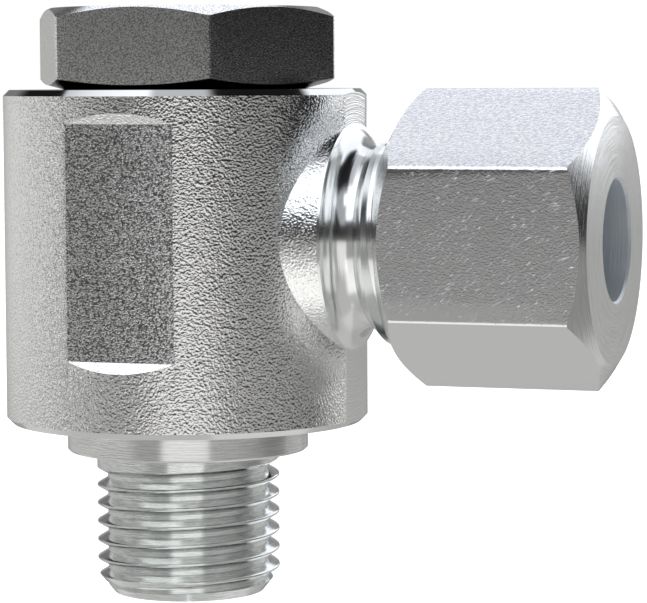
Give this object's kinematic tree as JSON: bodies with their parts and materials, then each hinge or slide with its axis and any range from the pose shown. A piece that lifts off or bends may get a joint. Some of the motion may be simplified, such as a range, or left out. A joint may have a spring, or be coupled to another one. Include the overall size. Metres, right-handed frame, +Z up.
{
  "type": "swivel elbow fitting",
  "caption": "Hydraulic swivel elbow: a hollow bolt clamps a round body to a threaded port, and a union nut with a cutting ring grips a tube in the side port.",
  "frame": {"origin": "on the hollow bolt's axis, at the port face that the lower ring rests on", "axes": "+Z up along the bolt's axis, from the stud to the head; +X along the side port's axis, towards the tube"},
  "size_m": [0.0339, 0.0196, 0.0318],
  "materials": {
    "plated_steel": "zinc plated, blasted or turned",
    "bolt_steel": "zinc plated, fine grained",
    "seal_rubber": "matte"
  },
  "bodies": {
    "bolt": {"hollow_bolt": "bolt_steel", "retaining_ring": "plated_steel", "lower_seal": "seal_rubber"},
    "elbow": {"swivel_body": "plated_steel", "upper_o_ring": "seal_rubber"},
    "cutter": {"cutting_ring": "bolt_steel"},
    "nut": {"union_nut": "plated_steel"}
  },
  "joints": [
    {"name": "elbow_swivel", "type": "hinge", "parent": "bolt", "child": "elbow", "pos_m": [0, 0, 0], "axis": [0, 0, 1], "continuous": true},
    {"name": "cutter_travel", "type": "slide", "parent": "elbow", "child": "cutter", "axis": [1, 0, 0], "range_m": [0, 0.006]},
    {"name": "nut_turn", "type": "hinge", "parent": "cutter", "child": "nut", "pos_m": [0, 0, 0.0117], "axis": [1, 0, 0], "range_deg": [0, 1440]}
  ],
  "couplings": [
    {"joint": "cutter_travel", "follows": "nut_turn", "m_per_rad": 0.00023873}
  ]
}
